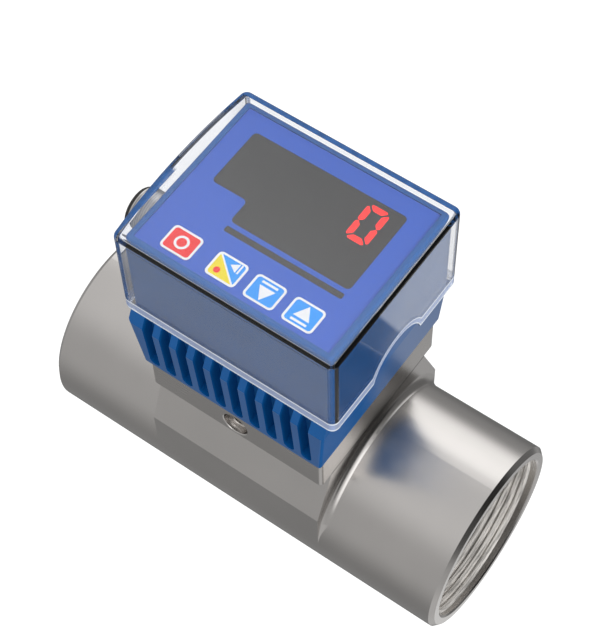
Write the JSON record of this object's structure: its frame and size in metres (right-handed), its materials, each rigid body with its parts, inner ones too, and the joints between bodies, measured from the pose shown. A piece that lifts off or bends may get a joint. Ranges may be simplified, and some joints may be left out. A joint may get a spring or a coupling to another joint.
{
  "type": "paddle wheel flow meter",
  "caption": "In-line pipe flow meter: threaded steel body, paddle rotor on a fork in the bore, clamped blue head with digital display, front keys, clear hood and cable gland.",
  "frame": {"origin": "centre of the inlet mouth, on the pipe axis", "axes": "+X along the flow, +Y away from the reader of the display, +Z from the pipe to the display"},
  "size_m": [0.156, 0.069, 0.1536],
  "materials": {
    "cast_steel": "satin stainless steel casting",
    "collar_steel": "fine machined stainless steel",
    "screw_steel": "turned stainless steel",
    "pin_steel": "ground shaft",
    "stem_plastic": "natural moulded fluoropolymer",
    "rotor_plastic": "black moulded plastic",
    "bush_plastic": "turned bearing plastic",
    "magnet": "plated magnet",
    "black_plastic": "black moulded plastic",
    "seal_rubber": "black elastomer",
    "lead_rubber": "cable sheath",
    "blue_plastic": "fine textured blue plastic",
    "bezel_plastic": "fine textured blue plastic",
    "face_film": "printed blue film",
    "smoked_window": "smoked clear plastic",
    "circuit_board": "solder mask on laminate",
    "lamp_plastic": "diffused lamp plastic",
    "terminal_plastic": "green moulded plastic",
    "ribbon_plastic": "grey flat cable",
    "clear_plastic": "polished clear plastic",
    "gland_metal": "nickel plated brass",
    "red_key": "red film over a key",
    "split_key": "yellow and blue film over a key",
    "blue_key": "blue film over a key"
  },
  "bodies": {
    "meter": {"flow_body": "cast_steel", "lock_collar": "collar_steel", "collar_screws": "screw_steel", "set_screw": "screw_steel", "sensor_stem": "stem_plastic", "upper_o_ring": "seal_rubber", "lower_o_ring": "seal_rubber", "rotor_pin": "pin_steel", "hall_sensor": "black_plastic", "sensor_lead": "lead_rubber", "housing": "blue_plastic", "stem_gasket": "seal_rubber", "stem_nut": "screw_steel", "case_gasket": "seal_rubber", "front_bezel": "bezel_plastic", "bezel_screws": "screw_steel", "overlay": "face_film", "display_window": "smoked_window", "alarm_window": "smoked_window", "display_board": "circuit_board", "display_screws": "screw_steel", "display_module": "black_plastic", "alarm_lamps": "lamp_plastic", "tact_switches": "black_plastic", "power_board": "circuit_board", "power_screws": "screw_steel", "terminal_block": "terminal_plastic", "ribbon_cable": "ribbon_plastic", "gland_washer": "seal_rubber", "gland_body": "gland_metal", "gland_nut": "gland_metal", "gland_seal": "seal_rubber", "gland_locknut": "gland_metal"},
    "rotor": {"paddle_wheel": "rotor_plastic", "rotor_magnets": "magnet", "rotor_bushes": "bush_plastic"},
    "cover": {"clear_cover": "clear_plastic"},
    "set_key": {"set_key": "red_key"},
    "shift_key": {"shift_key": "split_key"},
    "down_key": {"down_key": "blue_key"},
    "up_key": {"up_key": "blue_key"}
  },
  "joints": [
    {"name": "rotor_spin", "type": "hinge", "parent": "meter", "child": "rotor", "pos_m": [0.078, 0, 0.0125], "axis": [0, 1, 0], "continuous": true},
    {"name": "cover_lift", "type": "slide", "parent": "meter", "child": "cover", "axis": [0, 0, 1], "range_m": [0, 0.045]},
    {"name": "set_key_press", "type": "slide", "parent": "meter", "child": "set_key", "axis": [0, 0, -1], "range_m": [0, 0.0005], "stiffness_N_per_m": 2000},
    {"name": "shift_key_press", "type": "slide", "parent": "meter", "child": "shift_key", "axis": [0, 0, -1], "range_m": [0, 0.0005], "stiffness_N_per_m": 2000},
    {"name": "down_key_press", "type": "slide", "parent": "meter", "child": "down_key", "axis": [0, 0, -1], "range_m": [0, 0.0005], "stiffness_N_per_m": 2000},
    {"name": "up_key_press", "type": "slide", "parent": "meter", "child": "up_key", "axis": [0, 0, -1], "range_m": [0, 0.0005], "stiffness_N_per_m": 2000}
  ]
}
